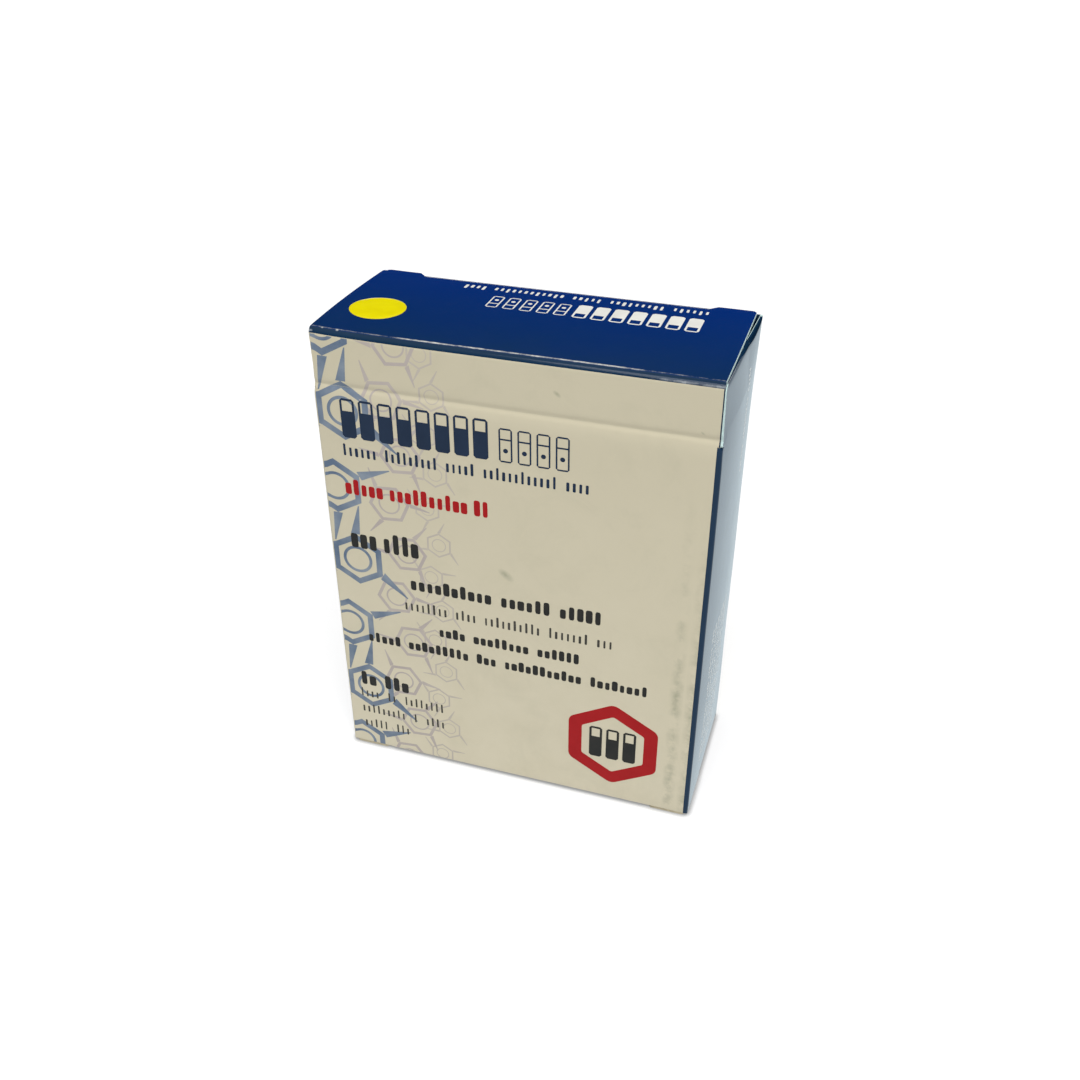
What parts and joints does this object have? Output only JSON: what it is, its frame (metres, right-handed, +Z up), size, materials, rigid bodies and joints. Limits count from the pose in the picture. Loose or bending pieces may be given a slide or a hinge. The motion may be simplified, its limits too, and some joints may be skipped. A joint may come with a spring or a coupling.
{
  "type": "microscope slide box",
  "caption": "Folding tuck-end carton of upright glass microscope slides, with a front-hinged lid, a bottom flap and a round colour sticker on the lid.",
  "frame": {"origin": "bottom centre of the closed carton, on the face that it stands on", "axes": "+X to the right across the front, +Y from the front to the back, +Z up; the front is the side that the lid hinges on"},
  "size_m": [0.0618, 0.0272, 0.0801],
  "materials": {
    "printed_board": "satin",
    "varnished_board": "gloss",
    "raw_board": "matte",
    "sticker_paper": "satin",
    "slide_glass": "polished"
  },
  "bodies": {
    "carton": {"carton": "printed_board", "slide_01": "slide_glass", "slide_02": "slide_glass", "slide_03": "slide_glass", "slide_04": "slide_glass", "slide_05": "slide_glass", "slide_06": "slide_glass", "slide_07": "slide_glass", "slide_08": "slide_glass", "slide_09": "slide_glass", "slide_10": "slide_glass", "slide_11": "slide_glass", "slide_12": "slide_glass", "slide_13": "slide_glass", "slide_14": "slide_glass", "slide_15": "slide_glass", "slide_16": "slide_glass", "slide_17": "slide_glass", "slide_18": "slide_glass", "slide_19": "slide_glass", "slide_20": "slide_glass", "slide_21": "slide_glass", "slide_22": "slide_glass", "slide_23": "slide_glass", "slide_24": "slide_glass", "slide_25": "slide_glass", "slide_26": "slide_glass", "slide_27": "slide_glass", "slide_28": "slide_glass", "slide_29": "slide_glass", "slide_30": "slide_glass", "slide_31": "slide_glass", "slide_32": "slide_glass", "slide_33": "slide_glass", "slide_34": "slide_glass", "slide_35": "slide_glass", "slide_36": "slide_glass", "slide_37": "slide_glass", "slide_38": "slide_glass", "slide_39": "slide_glass", "slide_40": "slide_glass", "slide_41": "slide_glass", "slide_42": "slide_glass", "slide_43": "slide_glass", "slide_44": "slide_glass", "slide_45": "slide_glass", "slide_46": "slide_glass", "slide_47": "slide_glass", "slide_48": "slide_glass", "slide_49": "slide_glass", "slide_50": "slide_glass"},
    "lid": {"lid": "varnished_board", "colour_dot": "sticker_paper"},
    "bottom_flap": {"bottom_flap": "raw_board"},
    "bottom_tuck_flap": {"bottom_tuck_flap": "raw_board"}
  },
  "joints": [
    {"name": "lid_hinge", "type": "hinge", "parent": "carton", "child": "lid", "pos_m": [0, -0.0136, 0.0715], "axis": [1, 0, 0], "range_deg": [0, 160]},
    {"name": "bottom_hinge", "type": "hinge", "parent": "carton", "child": "bottom_flap", "pos_m": [0, 0.01331, 0.00029], "axis": [1, 0, 0], "range_deg": [0, 120]},
    {"name": "bottom_tuck_fold", "type": "hinge", "parent": "bottom_flap", "child": "bottom_tuck_flap", "pos_m": [0, -0.01244, 0.00058], "axis": [1, 0, 0], "range_deg": [-78, 0]}
  ],
  "couplings": [
    {"joint": "bottom_tuck_fold", "follows": "bottom_hinge", "ratio": -0.65}
  ]
}
